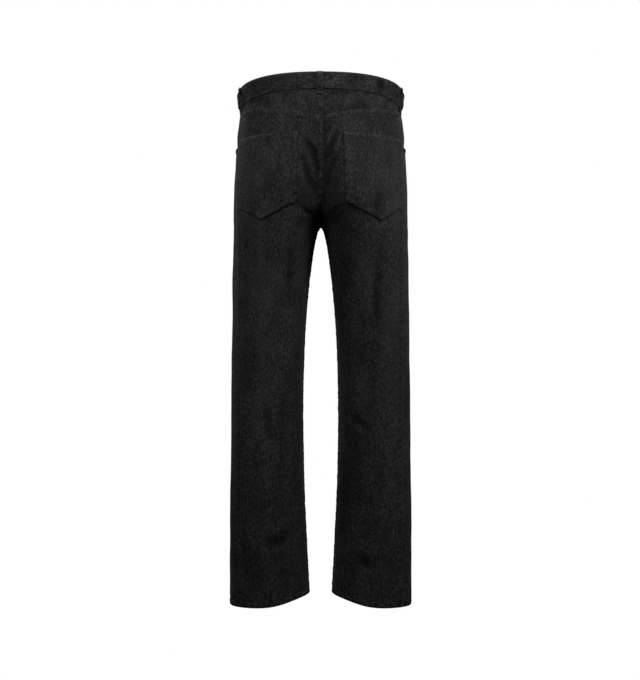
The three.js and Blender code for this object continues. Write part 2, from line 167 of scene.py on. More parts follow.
# Black denim
# A 3/1 right-hand twill of black warp over a grey weft. Up close it shows fine diagonal lines, from
# a step away a heather of grey flecks and long upright slubs, and where the cloth is raised over a
# seam the black has rubbed to charcoal.
TWILL_PITCH = 0.9 * MM
TWILL_SLOPE = 0.8
TWILL_WANDER = 0.9 * MM
WANDER_SCALE = (260, 160, 1)
FLOATS_PER_PITCH = 1.3
BLACK = (0.0022, 0.0022, 0.0022, 1)
CHARCOAL = (0.0075, 0.0074, 0.0074, 1)
FLECK_GREY = (0.075, 0.0743, 0.0735, 1)
# Pale grey of the weft where it shows, of rubbed cloth and of painted highlight.
WEFT_WEAR_AND_HIGHLIGHT_GREY = (0.045, 0.0442, 0.0435, 1)
# Near-black mixed in by the shade mask: painted shade.
PAINTED_SHADE_BLACK = (0.002, 0.002, 0.002, 1)
FLECK_SCALE = (500, 500, 190)
DASH_SCALE = (1500, 1500, 380)
SLUB_SCALE = (450, 450, 45)
MOTTLE_SCALE = (40, 40, 14)
DENIM_ROUGHNESS = (0.95, 0.85)
DENIM_SPECULAR = 0.08
DENIM_SHEEN = 0.012
DENIM_SHEEN_ROUGHNESS = 0.6
CHARCOAL_SHARE = (0.25, 0.75)
SLUB_SHARE = 0.2
FLECK_SHARE = 0.62
FLECKS_TO = 1.6
THREAD_CONTRAST = (0.35, 1.65)
PATCH_CONTRAST = (0.6, 1.4)
WEFT_SHARE = 0.3
WEAR_AND_HIGHLIGHT_SHARE = 0.4
SHADE_SHARE = 0.8
WEAVE_STRENGTH = 0.5
WEAVE_DEPTH = 0.12 * MM
LUMP_STRENGTH = 0.6
LUMP_DEPTH = 0.35 * MM


def new_group(name, inputs, outputs):
    """An empty shader node group with named inputs (name, socket type, value) and outputs."""
    group = bpy.data.node_groups.new(name, "ShaderNodeTree")
    for socket, kind, value in inputs:
        made = group.interface.new_socket(name=socket, in_out="INPUT", socket_type=kind)
        if value is not None:
            made.default_value = value
    for socket, kind in outputs:
        group.interface.new_socket(name=socket, in_out="OUTPUT", socket_type=kind)
    return group, group.nodes.new("NodeGroupInput"), group.nodes.new("NodeGroupOutput")


def math_node(tree, operation, first, second=None):
    """A Math node fed by sockets or numbers. Returns its output."""
    node = tree.nodes.new("ShaderNodeMath")
    node.operation = operation
    for slot, value in enumerate((first, second)):
        if isinstance(value, (int, float)):
            node.inputs[slot].default_value = value
        elif value is not None:
            tree.links.new(value, node.inputs[slot])
    return node.outputs[0]


def stretched_noise(tree, vector, scale, detail=2.0):
    """Noise whose blobs are 1 / scale metres along each axis. Returns its value."""
    mapping = tree.nodes.new("ShaderNodeMapping")
    mapping.inputs["Scale"].default_value = scale
    tree.links.new(vector, mapping.inputs["Vector"])
    noise = tree.nodes.new("ShaderNodeTexNoise")
    noise.inputs["Scale"].default_value = 1
    noise.inputs["Detail"].default_value = detail
    tree.links.new(mapping.outputs[0], noise.inputs["Vector"])
    return noise.outputs[0]


def ranged(tree, value, low, high, to_low=0.0, to_high=1.0):
    """Maps low..high to to_low..to_high, clamped."""
    node = tree.nodes.new("ShaderNodeMapRange")
    for socket, number in (("From Min", low), ("From Max", high), ("To Min", to_low), ("To Max", to_high)):
        node.inputs[socket].default_value = number
    tree.links.new(value, node.inputs["Value"])
    return node.outputs[0]


def colour_mix(tree, share, first, second):
    """Mixes two colours, sockets or values, by a share. Returns the colour."""
    node = tree.nodes.new("ShaderNodeMix")
    node.data_type = "RGBA"
    tree.links.new(share, node.inputs["Factor"])
    for slot, value in ((6, first), (7, second)):
        if isinstance(value, tuple):
            node.inputs[slot].default_value = value
        else:
            tree.links.new(value, node.inputs[slot])
    return node.outputs[2]


def times(tree, first, second):
    """The product of two sockets or numbers."""
    return math_node(tree, "MULTIPLY", first, second)


def plus(tree, first, second):
    """The sum of two sockets or numbers."""
    return math_node(tree, "ADD", first, second)


def mask_node(tree, name):
    """The value that a mesh keeps under this name."""
    node = tree.nodes.new("ShaderNodeAttribute")
    node.attribute_name = name
    return node.outputs["Fac"]


def bump_node(tree, height, strength, depth):
    """A Bump node that raises the surface by a height."""
    node = tree.nodes.new("ShaderNodeBump")
    node.inputs["Strength"].default_value = strength
    node.inputs["Distance"].default_value = depth
    tree.links.new(height, node.inputs["Height"])
    return node


def build_twill():
    """Twill lines from a flat map of the cloth in metres: a height, and where the weft shows."""
    group, given, result = new_group(
        "twill",
        [("Cloth Map", "NodeSocketVector", None)],
        [("Height", "NodeSocketFloat"), ("Weft", "NodeSocketFloat")],
    )
    cloth_map = given.outputs["Cloth Map"]
    split = group.nodes.new("ShaderNodeSeparateXYZ")
    group.links.new(cloth_map, split.inputs[0])
    rise = plus(group, split.outputs["X"], times(group, split.outputs["Y"], TWILL_SLOPE))
    wander = times(group, stretched_noise(group, cloth_map, WANDER_SCALE), TWILL_WANDER)
    line = math_node(group, "DIVIDE", plus(group, rise, wander), TWILL_PITCH)
    wave = math_node(group, "SINE", times(group, line, math.tau))
    cross = math_node(group, "DIVIDE", split.outputs["Y"], TWILL_PITCH)
    float_wave = math_node(group, "SINE", times(group, cross, FLOATS_PER_PITCH * math.tau))
    height = plus(group, times(group, wave, 0.4), 0.5)
    height = plus(group, height, times(group, float_wave, 0.1))
    group.links.new(height, result.inputs["Height"])
    group.links.new(ranged(group, times(group, wave, float_wave), 0.25, 0.8), result.inputs["Weft"])
    return group


def build_heather():
    """Grey flecks, slubs along the grain and slow mottling, from a point in metres."""
    group, given, result = new_group(
        "heather",
        [("Point", "NodeSocketVector", None), ("Grain", "NodeSocketVector", (1, 1, 1))],
        [("Flecks", "NodeSocketFloat"), ("Slubs", "NodeSocketFloat"), ("Mottle", "NodeSocketFloat")],
    )
    along = group.nodes.new("ShaderNodeVectorMath")
    along.operation = "MULTIPLY"
    group.links.new(given.outputs["Point"], along.inputs[0])
    group.links.new(given.outputs["Grain"], along.inputs[1])
    vector = along.outputs[0]
    clusters = ranged(group, stretched_noise(group, vector, FLECK_SCALE), 0.4, 0.66)
    dashes = ranged(group, stretched_noise(group, vector, DASH_SCALE), 0.4, 0.62, 0.25, 1.75)
    group.links.new(times(group, clusters, dashes), result.inputs["Flecks"])
    slubs = stretched_noise(group, vector, SLUB_SCALE)
    group.links.new(ranged(group, slubs, 0.48, 0.72), result.inputs["Slubs"])
    mottle = stretched_noise(group, vector, MOTTLE_SCALE, 3)
    group.links.new(ranged(group, mottle, 0.3, 0.7), result.inputs["Mottle"])
    return group


TWILL = build_twill()
HEATHER = build_heather()


def make_denim(name, grain=(1, 1, 1), paleness=0.0):
    """Black denim whose slubs run along z, or along x and y where the grain says so."""
    denim = bpy.data.materials.new(name)
    denim.use_nodes = True
    tree = denim.node_tree
    nodes, links = tree.nodes, tree.links
    shader = nodes["Principled BSDF"]
    shader.inputs["Specular IOR Level"].default_value = DENIM_SPECULAR
    shader.inputs["Sheen Weight"].default_value = DENIM_SHEEN
    shader.inputs["Sheen Roughness"].default_value = DENIM_SHEEN_ROUGHNESS

    places = nodes.new("ShaderNodeTexCoord")
    heather = nodes.new("ShaderNodeGroup")
    heather.node_tree = HEATHER
    heather.inputs["Grain"].default_value = grain
    links.new(places.outputs["Object"], heather.inputs["Point"])
    twill = nodes.new("ShaderNodeGroup")
    twill.node_tree = TWILL
    links.new(places.outputs["UV"], twill.inputs["Cloth Map"])
    flecks, slubs, mottle = (heather.outputs[value] for value in ("Flecks", "Slubs", "Mottle"))
    threads = twill.outputs["Height"]

    colour = colour_mix(tree, ranged(tree, mottle, 0, 1, *CHARCOAL_SHARE), BLACK, CHARCOAL)
    colour = colour_mix(tree, ranged(tree, slubs, 0, 1, 0, SLUB_SHARE), colour, FLECK_GREY)
    fleck_share = ranged(tree, flecks, 0, FLECKS_TO, paleness, FLECK_SHARE + paleness)
    fleck_share = times(tree, fleck_share, ranged(tree, threads, 0.1, 0.9, *THREAD_CONTRAST))
    fleck_share = times(tree, fleck_share, ranged(tree, mottle, 0, 1, *PATCH_CONTRAST))
    colour = colour_mix(tree, fleck_share, colour, FLECK_GREY)
    # Mixes in the weft's grey where it shows, the same grey for rubbed cloth and painted highlight, and
    # near-black for painted shade.
    for value, share, grey in (
        (twill.outputs["Weft"], WEFT_SHARE, WEFT_WEAR_AND_HIGHLIGHT_GREY),
        (mask_node(tree, "wear_and_highlight"), WEAR_AND_HIGHLIGHT_SHARE, WEFT_WEAR_AND_HIGHLIGHT_GREY),
        (mask_node(tree, "shade"), SHADE_SHARE, PAINTED_SHADE_BLACK),
    ):
        colour = colour_mix(tree, ranged(tree, value, 0, 1, 0, share), colour, grey)
    links.new(colour, shader.inputs["Base Color"])
    links.new(ranged(tree, flecks, 0, 1, *DENIM_ROUGHNESS), shader.inputs["Roughness"])
    weave = bump_node(tree, threads, WEAVE_STRENGTH, WEAVE_DEPTH)
    lumps = bump_node(tree, plus(tree, slubs, flecks), LUMP_STRENGTH, LUMP_DEPTH)
    links.new(weave.outputs["Normal"], lumps.inputs["Normal"])
    links.new(lumps.outputs["Normal"], shader.inputs["Normal"])
    return denim


LEG_DENIM = make_denim("black_denim")
POCKET_DENIM = make_denim("pocket_denim", paleness=0.033)
BAND_DENIM = make_denim("band_denim", grain=(0.35, 0.35, 2.4), paleness=0.012)


# Leg panels
# Four long panels, two in front and two behind, cut from 1.5 mm denim. They hang straight from the
# seat. The back ones carry the creases that run from the pockets to the middle seam, and all four
# buckle softly at the knees and above the hems.
LEG_AXIS = 95 * MM
RIM_ANGLE = math.radians(55)
DENIM_THICK = 1.5 * MM
DETAIL = 3
JOIN_FACE_ANGLE = 0.8
JOIN_SHAPE_ANGLE = 1.4
SETTLE_ROUNDS = 4
SETTLE_LIMIT = 4 * MM
SETTLE_SHARE = 0.3
CLOSE_ROWS = 2 * MM
MOUTH_FOOT = (-109 * MM, -101 * MM)
MOUTH_ROWS_APART = 1.2 * MM
MOUTH_ROWS_STEP = 10 * MM
WRAP_RADIUS = 92 * MM
CREASE_ENDS = (0.02, 0.98)
CREASE_FADE = 0.6
LIP_SHARE = 0.55
LIP_AT = 1.7
LIP_WIDTH = 0.8
CREASE_WIDTHS = 3

# Face, side, width, depth and the points x, z of its line, in millimetres.
CREASES = (
    ("back", "left", 6.5, 1.8, ((38, -84), (22, -101), (11, -119), (8, -146))),
    ("back", "left", 5.5, 1.3, ((41, -122), (30, -151), (20, -180), (9, -193))),
    ("back", "right", 6, 1.7, ((-36, -69), (-22, -98), (-13, -127))),
    ("back", "right", 5, 1.2, ((-27, -124), (-17, -157), (-9, -185))),
    ("back", "left", 5, 1, ((44, -222), (30, -234), (14, -239))),
    ("back", "right", 5, 0.9, ((-46, -216), (-31, -228), (-16, -240))),
    ("back", "left", 9, 1.6, ((119, -618), (110, -660), (102, -697))),
    ("back", "right", 9, 1.5, ((-62, -640), (-80, -662), (-104, -671))),
    ("back", "left", 12, 1.5, ((60, -880), (86, -905), (118, -902))),
    ("back", "right", 11, 1.5, ((-70, -930), (-96, -951), (-124, -946))),
    ("back", "right", 10, 1.4, ((-120, -330), (-112, -400), (-118, -472))),
    ("back", "left", 10, 1.2, ((60, -300), (66, -352), (58, -410))),
    ("front", "left", 8, 2.2, ((12, -196), (38, -208), (78, -203))),
    ("front", "left", 7, 1.8, ((10, -214), (40, -236), (70, -242))),
    ("front", "right", 8, 2.3, ((-10, -190), (-40, -206), (-88, -196))),
    ("front", "right", 7, 1.7, ((-12, -216), (-36, -232), (-62, -244))),
    ("front", "left", 10, 1.8, ((58, -600), (90, -615), (128, -600))),
    ("front", "right", 10, 1.7, ((-54, -622), (-84, -640), (-120, -634))),
    ("front", "left", 11, 1.5, ((66, -890), (96, -912), (126, -904))),
    ("front", "right", 11, 1.6, ((-62, -918), (-90, -934), (-120, -922))),
)


def core_of(point):
    """The point inside the garment that the cloth at this height faces away from."""
    return Vector((max(-LEG_AXIS, min(LEG_AXIS, point.x)), 0, point.z))


def at_mouth_foot(edge):
    """Whether an edge joins two rows of points that all but meet by the foot of a pocket mouth."""
    first, second = (vert.co for vert in edge.verts)
    level = abs(first.z - second.z) < MOUTH_ROWS_APART and edge.calc_length() < MOUTH_ROWS_STEP
    return level and MOUTH_FOOT[0] < first.z < MOUTH_FOOT[1]


def outer_wall(node):
    """The outer skin of a CAD wall: the faces joined by gentle edges to the one facing most outward."""
    wall = bmesh.new()
    wall.from_mesh(bpy.data.objects[node].data)
    bmesh.ops.remove_doubles(wall, verts=wall.verts, dist=SAME_PLACE)
    wall.normal_update()
    outward = {face: face.normal.dot(face.calc_center_median() - core_of(face.calc_center_median()))
               for face in wall.faces}
    waiting = [max(wall.faces, key=outward.get)]
    outer = set(waiting)
    while waiting:
        for edge in waiting.pop().edges:
            if len(edge.link_faces) != 2 or edge.calc_face_angle(math.pi) > RIM_ANGLE:
                continue
            for face in edge.link_faces:
                if face not in outer:
                    outer.add(face)
                    waiting.append(face)
    bmesh.ops.delete(wall, geom=[face for face in wall.faces if face not in outer], context="FACES")
    bmesh.ops.holes_fill(wall, edges=[edge for edge in wall.edges if edge.is_boundary], sides=3)
    if "front_leg" in node:
        bmesh.ops.collapse(wall, edges=[edge for edge in wall.edges if at_mouth_foot(edge)])
    bmesh.ops.join_triangles(
        wall, faces=wall.faces, angle_face_threshold=JOIN_FACE_ANGLE, angle_shape_threshold=JOIN_SHAPE_ANGLE
    )
    return wall


def settle(wall):
    """Moves the points of a skin out, so that its smoothed surface passes through where they were."""
    first = {vert: vert.co.copy() for vert in wall.verts}
    limits = {}
    for vert in wall.verts:
        shortest = min(edge.calc_length() for edge in vert.link_edges)
        limits[vert] = min(SETTLE_LIMIT, SETTLE_SHARE * shortest)
    for _ in range(SETTLE_ROUNDS):
        smoothed = {}
        for vert in wall.verts:
            beside = [edge.other_vert(vert) for edge in vert.link_edges]
            if vert.is_boundary:
                rim = [edge.other_vert(vert) for edge in vert.link_edges if edge.is_boundary]
                smoothed[vert] = vert.co if len(beside) == 2 else (vert.co * 4 + rim[0].co + rim[1].co) / 6
                continue
            count = len(beside)
            across = [other for face in vert.link_faces for other in face.verts]
            across = [other for other in across if other != vert and other not in beside]
            total = vert.co * count * count + sum((other.co for other in beside), Vector()) * 4
            total += sum((other.co for other in across), Vector())
            smoothed[vert] = total / (count * count + 4 * count + len(across))
        for vert in wall.verts:
            moved = vert.co - smoothed[vert]
            if moved.length > limits[vert]:
                moved *= limits[vert] / moved.length
            vert.co = first[vert] + moved


def refined(node, detail=DETAIL):
    """A smooth, finer mesh of a node's skin, its corners kept and rows closer than a stitch made one."""
    name = node + "_cloth"
    wall = outer_wall(node)
    bmesh.ops.remove_doubles(wall, verts=wall.verts, dist=CLOSE_ROWS)
    settle(wall)
    mesh = bpy.data.meshes.new(name)
    wall.to_mesh(mesh)
    wall.free()
    rough = bpy.data.objects.new(name, mesh)
    scene.collection.objects.link(rough)
    finer = rough.modifiers.new("finer", "SUBSURF")
    finer.levels = detail
    finer.render_levels = detail
    finer.boundary_smooth = "PRESERVE_CORNERS"
    bpy.context.view_layer.update()
    fine = bpy.data.meshes.new_from_object(rough.evaluated_get(bpy.context.evaluated_depsgraph_get()))
    bpy.data.objects.remove(rough)
    bpy.data.meshes.remove(mesh)
    fine.name = name
    return fine


def points_of(mesh):
    """The mesh's points as an array of rows."""
    flat = np.empty(len(mesh.vertices) * 3)
    mesh.vertices.foreach_get("co", flat)
    return flat.reshape(-1, 3)


def normals_of(mesh):
    """The normals at the mesh's points as an array of rows."""
    flat = np.empty(len(mesh.vertices) * 3)
    mesh.vertex_normals.foreach_get("vector", flat)
    return flat.reshape(-1, 3)


def border_of(mesh):
    """The places of the points on the open edges of a skin."""
    uses = np.zeros(len(mesh.edges), int)
    edge_of = np.empty(len(mesh.loops), int)
    mesh.loops.foreach_get("edge_index", edge_of)
    np.add.at(uses, edge_of, 1)
    ends = np.empty(len(mesh.edges) * 2, int)
    mesh.edges.foreach_get("vertices", ends)
    return points_of(mesh)[np.unique(ends.reshape(-1, 2)[uses == 1])]


def tree_of(marks):
    """A tree that finds the nearest of these marks."""
    tree = KDTree(len(marks))
    for index, mark in enumerate(marks):
        tree.insert(mark, index)
    tree.balance()
    return tree


def distance_to(points, marks):
    """How far each point lies from the nearest mark."""
    tree = tree_of(marks)
    return np.array([tree.find(point)[2] for point in points])


def measured(mesh):
    """A skin's points and normals, and how far each point lies from its border."""
    points = points_of(mesh)
    return points, normals_of(mesh), distance_to(points, border_of(mesh))


def bell(value):
    """1 at 0, falling off to both sides."""
    return np.exp(-(value ** 2))


def fading(distance, reach):
    """1 at no distance, falling off over this reach in millimetres."""
    return np.exp(-distance / (reach * MM))


def around(distance, middle, width):
    """1 at this distance, falling off over this width to both sides, in millimetres."""
    return bell((distance - middle * MM) / (width * MM))


def eased(distance, reach):
    """0 at no distance, rising evenly to 1 at this reach in millimetres."""
    return np.clip(distance / (reach * MM), 0, 1)


def ripples(points, length, seed, waves=22):
    """An even, random swell over the points, about 1 high, whose waves are about this long."""
    dice = np.random.default_rng(seed)
    heading = dice.normal(size=(waves, 3))
    heading /= np.linalg.norm(heading, axis=1)[:, None]
    pull = heading * (2 * math.pi / length) * dice.uniform(0.7, 1.4, (waves, 1))
    return np.cos(points @ pull.T + dice.uniform(0, 2 * math.pi, waves)).sum(1) / math.sqrt(waves / 2)


def swelling(points, seed, height, length, drawn=1):
    """A swell this high, with waves this long, in millimetres, drawn out upward where drawn is under 1."""
    return height * MM * ripples(points * np.array([1, 1, drawn]), length * MM, seed)


def smooth_path(corners, count=40):
    """A rounded line of this many points through the corners."""
    corners = np.array(corners, float)
    for _ in range(3):
        ahead = corners[:-1] * 0.75 + corners[1:] * 0.25
        later = corners[:-1] * 0.25 + corners[1:] * 0.75
        cut = np.stack((ahead, later), 1).reshape(-1, corners.shape[1])
        corners = np.vstack((corners[:1], cut, corners[-1:]))
    steps = np.concatenate(([0], np.cumsum(np.linalg.norm(np.diff(corners, axis=0), axis=1))))
    places = np.linspace(0, steps[-1], count)
    return np.stack([np.interp(places, steps, corners[:, k]) for k in range(corners.shape[1])], 1)


def creased(points, normals, creases):
    """How far each crease sinks or lifts the points: a trough between two low lips, fading to its ends."""
    lift = np.zeros(len(points))
    for face, side, width, depth, corners in creases:
        there = (normals[:, 1] > 0.1) == (face == "back")
        there &= (points[:, 0] > 0) == (side == "left")
        line = smooth_path(corners) * MM
        near = np.full(len(points), np.inf)
        along = np.zeros(len(points))
        for step, (x, z) in enumerate(line):
            away = np.hypot(points[:, 0] - x, points[:, 2] - z)
            closer = away < near
            near[closer] = away[closer]
            along[closer] = step / (len(line) - 1)
        fade = np.sin(np.pi * np.clip(along, *CREASE_ENDS)) ** CREASE_FADE
        spread = near / (width * MM)
        shape = LIP_SHARE * bell((spread - LIP_AT) / LIP_WIDTH) - bell(spread)
        beyond = fading(np.clip(near - CREASE_WIDTHS * width * MM, 0, None), reach=1)
        lift += np.where(there, depth * MM * fade * shape * beyond, 0)
    return lift


def patch_light_and_shade(points, normals, painted_light):
    """How much painted shade (above 0) or painted highlight (below 0) the listed soft patches put on each
    point.
    """
    total = np.zeros(len(points))
    for face, x, z, reach_x, reach_z, amount in painted_light:
        away = ((points[:, 0] - x * MM) / (reach_x * MM)) ** 2
        away += ((points[:, 2] - z * MM) / (reach_z * MM)) ** 2
        there = (normals[:, 1] > 0.05) == (face == "back")
        total += np.where(there, amount * np.exp(-away), 0)
    return total


def set_points(mesh, points):
    """Moves a mesh's points to these places."""
    mesh.vertices.foreach_set("co", np.asarray(points, float).ravel())
    mesh.update()


def set_mask(mesh, name, values):
    """Stores a number from 0 to 1 at each point, for the material to read."""
    layer = mesh.attributes.new(name, "FLOAT", "POINT")
    layer.data.foreach_set("value", np.full(len(mesh.vertices), np.clip(values, 0, 1), np.float32))


def set_cloth_map(mesh, flat):
    """Gives each corner its place on the flat cloth, in metres."""
    corner_of = np.empty(len(mesh.loops), int)
    mesh.loops.foreach_get("vertex_index", corner_of)
    mesh.uv_layers.new(name="cloth_map").data.foreach_set("uv", flat[corner_of].astype(np.float32).ravel())


def wrapped(points):
    """The cloth map of a panel that wraps a leg: round the leg and up."""
    middle = np.clip(points[:, 0], -LEG_AXIS, LEG_AXIS)
    turn = np.arctan2(points[:, 0] - middle, np.abs(points[:, 1])) * np.sign(points[:, 1])
    return np.stack((turn * WRAP_RADIUS + middle * np.sign(points[:, 1]), points[:, 2]), 1)


def finish_skin(mesh, points, normals, lift, wear_and_highlight, shade):
    """Lifts the points of a skin, and stores its masks of rubbed cloth and painted highlight and of painted
    shade, and its place on the flat cloth.
    """
    set_points(mesh, points + normals * lift[:, None])
    set_mask(mesh, "wear_and_highlight", wear_and_highlight)
    set_mask(mesh, "shade", shade)
    set_cloth_map(mesh, wrapped(points))


def piece_object(name, mesh, material, thick=None):
    """Adds a mesh to the part as a smooth piece, with an inner wall behind it where it is cloth."""
    mesh.materials.clear()
    mesh.materials.append(material)
    mesh.polygons.foreach_set("use_smooth", [True] * len(mesh.polygons))
    piece = bpy.data.objects.new(name, mesh)
    scene.collection.objects.link(piece)
    if thick:
        wall = piece.modifiers.new("wall", "SOLIDIFY")
        wall.thickness = thick
        wall.offset = -1
    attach(piece, "root")
    return piece


def cloth_object(node, mesh, thick, material=LEG_DENIM):
    """The cloth that takes the place of a CAD node."""
    cloth = piece_object(node + "_cloth", mesh, material, thick)
    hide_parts(node)
    return cloth


SKIN_POINTS, SKIN_FACES = [], []


def add_to_skin(mesh):
    """Keeps a finished skin, so that ridges and threads can be laid on it."""
    start = len(SKIN_POINTS)
    SKIN_POINTS.extend(tuple(vertex.co) for vertex in mesh.vertices)
    SKIN_FACES.extend(tuple(start + index for index in polygon.vertices) for polygon in mesh.polygons)


SEWN_DETAIL = {"left_yoke": 3, "right_yoke": 3, "waistband": 3, "left_hem": 4, "right_hem": 4}
SEWN = ("left_back_leg", "right_back_leg", "left_front_leg", "right_front_leg", *SEWN_DETAIL)
SKINS = {node: refined(node, SEWN_DETAIL.get(node, DETAIL)) for node in SEWN}
BORDERS = {node: border_of(mesh) for node, mesh in SKINS.items()}
POCKET_NODES = ("left_back_pocket", "right_back_pocket")
POCKET_SKINS = {node: refined(node) for node in POCKET_NODES}
POCKET_BORDER = np.vstack([border_of(mesh) for mesh in POCKET_SKINS.values()])
ALLOWANCE = 4 * MM
ALLOWANCE_SUNK = 0.7 * MM
TOUCHING = 2.2 * MM


def tucked(mesh, node, reach=TOUCHING):
    """Runs a skin on past each seam, as a narrow allowance under the piece that it is sewn to."""
    neighbours = tree_of(np.vstack([border for other, border in BORDERS.items() if other != node]))
    cloth = bmesh.new()
    cloth.from_mesh(mesh)
    sewn = {vert for vert in cloth.verts if vert.is_boundary and neighbours.find(vert.co)[2] < reach}
    beyond = {}
    for vert in sewn:
        inner = [edge.other_vert(vert).co for edge in vert.link_edges if not edge.is_boundary]
        inner = inner or [face.calc_center_median() for face in vert.link_faces]
        away = vert.co - sum(inner, Vector()) / len(inner)
        away -= vert.normal * away.dot(vert.normal)
        beyond[vert] = vert.co + away.normalized() * ALLOWANCE - vert.normal * ALLOWANCE_SUNK
    edges = [edge for edge in cloth.edges if edge.is_boundary and sewn.issuperset(edge.verts)]
    made = bmesh.ops.extrude_edge_only(cloth, edges=edges)["geom"]
    for vert in [item for item in made if isinstance(item, bmesh.types.BMVert)]:
        beside = (edge.other_vert(vert) for edge in vert.link_edges)
        vert.co = next(beyond[other] for other in beside if other in beyond)
    cloth.to_mesh(mesh)
    cloth.free()


# Soft patches of painted shade and painted highlight. Face, x, z, reach along x, reach along z, in
# millimetres, and amount: painted shade above 0, painted highlight below 0.
LIGHT_AND_SHADE_PATCHES = (
    ("back", -22, -172, 21, 60, 0.95),
    ("back", -8, -140, 6, 90, 0.85),
    ("back", -26, -112, 16, 50, 0.4),
    ("back", 20, -148, 22, 52, 0.6),
    ("back", 30, -190, 17, 34, 0.35),
    ("back", -44, -380, 20, 110, 0.6),
    ("back", -58, -760, 20, 190, 0.35),
    ("back", -90, -660, 24, 90, 0.3),
    ("back", -112, -470, 12, 110, 0.3),
    ("back", -33, -530, 9, 110, -0.4),
    ("back", -72, -385, 7, 42, -0.35),
    ("back", -152, -480, 16, 150, -0.45),
    ("back", -148, -800, 16, 120, -0.25),
    ("back", -150, -215, 13, 55, -1),
    ("back", -128, -205, 24, 60, -0.35),
    ("back", 134, -350, 22, 170, -0.5),
    ("back", 162, -520, 14, 110, -0.4),
    ("back", 88, -390, 26, 110, -0.2),
    ("back", 38, -740, 18, 300, 0.5),
    ("back", -85, -185, 34, 90, 0.15),
    ("back", 62, -340, 12, 60, 0.3),
    ("back", 70, -640, 26, 90, 0.2),
    ("back", 118, -560, 14, 80, -0.15),
    ("back", 95, -910, 95, 150, 0.35),
    ("back", -95, -910, 95, 150, 0.3),
    ("front", 26, -205, 22, 44, 0.5),
    ("front", -26, -205, 22, 44, 0.6),
    ("front", 60, -400, 24, 130, 0.3),
    ("front", -60, -420, 24, 130, 0.4),
    ("front", 100, -420, 26, 150, -0.4),
    ("front", -102, -440, 26, 150, -0.4),
    ("front", 95, -970, 85, 110, 0.25),
    ("front", -95, -970, 85, 110, 0.25),
)
STRIP_WIDTH = 12 * MM
RIDGE_TO = 150 * MM
CROTCH = -262 * MM
# Node, seed, flat size in metres, area in square metres.
LEG_PANELS = (
    ("left_back_leg", 3, (0.263, 1.013), 0.198),
    ("right_back_leg", 8, (0.263, 1.013), 0.198),
    ("left_front_leg", 13, (0.383, 1.003), 0.294),
    ("right_front_leg", 21, (0.383, 1.003), 0.294),
)


def beside_ridge(from_seam):
    """1 in the thin line of painted shade along the rim of a seam's ridge."""
    return around(from_seam - STRIP_WIDTH / 2, middle=1, width=1)


for node, seed, _, _ in LEG_PANELS:
    mesh = SKINS[node]
    points, normals, from_seam = measured(mesh)
    swell = swelling(points, seed, height=0.34, length=70, drawn=0.45)
    swell += swelling(points, seed + 1, height=0.16, length=26, drawn=0.45)
    pucker = swelling(points, seed + 2, height=0.4, length=15) * fading(from_seam, reach=6)
    creases = creased(points, normals, CREASES)
    lift = swell * (1 - fading(from_seam, reach=12)) + pucker * eased(from_seam, reach=2)
    lift += creases * eased(from_seam, reach=4)
    # Painted shade in the hollows of the creases and swell, in the listed soft patches, in a thin line along
    # the pockets' edges and beside the seam ridges; painted highlight where a patch is below 0, on top of
    # paler rubbed cloth by the seams and on raised cloth.
    painted_light = patch_light_and_shade(points, normals, LIGHT_AND_SHADE_PATCHES)
    by_pocket = around(distance_to(points, POCKET_BORDER), middle=0, width=1.6) * ("back" in node)
    by_ridge = beside_ridge(from_seam) * ((points[:, 2] > CROTCH) & (np.abs(points[:, 0]) < RIDGE_TO))
    wear_and_highlight = 0.3 * fading(from_seam, reach=3) + lift / (2.5 * MM) - painted_light
    shade = -(creases + 0.5 * swell) / (2.2 * MM) + painted_light + 0.9 * by_pocket + 0.6 * by_ridge
    finish_skin(mesh, points, normals, lift, wear_and_highlight, shade)
    add_to_skin(mesh)
    tucked(mesh, node)
    cloth_object(node, mesh, DENIM_THICK)


# Back yokes
# The two shaped pieces between the waistband and the back legs, which curve the seat. They lie
# flat, with short puckers where the seams below and above pull them in.
# Node, seed, flat size in metres, area in square metres.
YOKES = (
    ("left_yoke", 31, (0.212, 0.068), 0.0096),
    ("right_yoke", 37, (0.212, 0.068), 0.0096),
)
for node, seed, _, _ in YOKES:
    mesh = SKINS[node]
    points, normals, from_seam = measured(mesh)
    pucker = swelling(points, seed, height=0.4, length=11, drawn=0.5) * fading(from_seam, reach=7)
    swell = swelling(points, seed + 1, height=0.3, length=30)
    lift = (swell + pucker) * eased(from_seam, reach=3)
    # Painted shade in the hollows of the puckers, in a line under the waistband and beside the seam ridge;
    # the cloth is rubbed paler by the seams and on the puckers' tops.
    by_band = around(distance_to(points, BORDERS["waistband"]), middle=0, width=1.8)
    wear_and_highlight = 0.3 * fading(from_seam, reach=3) + lift / (1.5 * MM)
    shade = -lift / (1.2 * MM) + 1.2 * by_band + 0.5 * beside_ridge(from_seam)
    finish_skin(mesh, points, normals, lift, wear_and_highlight, shade)
    add_to_skin(mesh)
    tucked(mesh, node)
    cloth_object(node, mesh, DENIM_THICK)


# Front pocket facings
# A piece of the same denim behind each curved pocket mouth, seen in the opening at the hip. It runs
# on under the waistband and past the side seam.
THIN = 1.2 * MM
FACING_FULLNESS = 1.3 * MM
FACING_REACH = 5 * MM
# An even painted shade over the facing, for the shadow in the pocket opening.
FACING_SHADE = 0.25
for node, seed in (("left_pocket_facing", 41), ("right_pocket_facing", 43)):
    mesh = refined(node)
    points, normals = points_of(mesh), normals_of(mesh)
    lift = swelling(points, seed, height=0.15, length=40)
    lift += FACING_FULLNESS * eased(np.abs(points[:, 0]), reach=150) ** 4
    finish_skin(mesh, points, normals, lift, 0, FACING_SHADE)
    add_to_skin(mesh)
    tucked(mesh, node, FACING_REACH)
    facing = cloth_object(node, mesh, THIN)


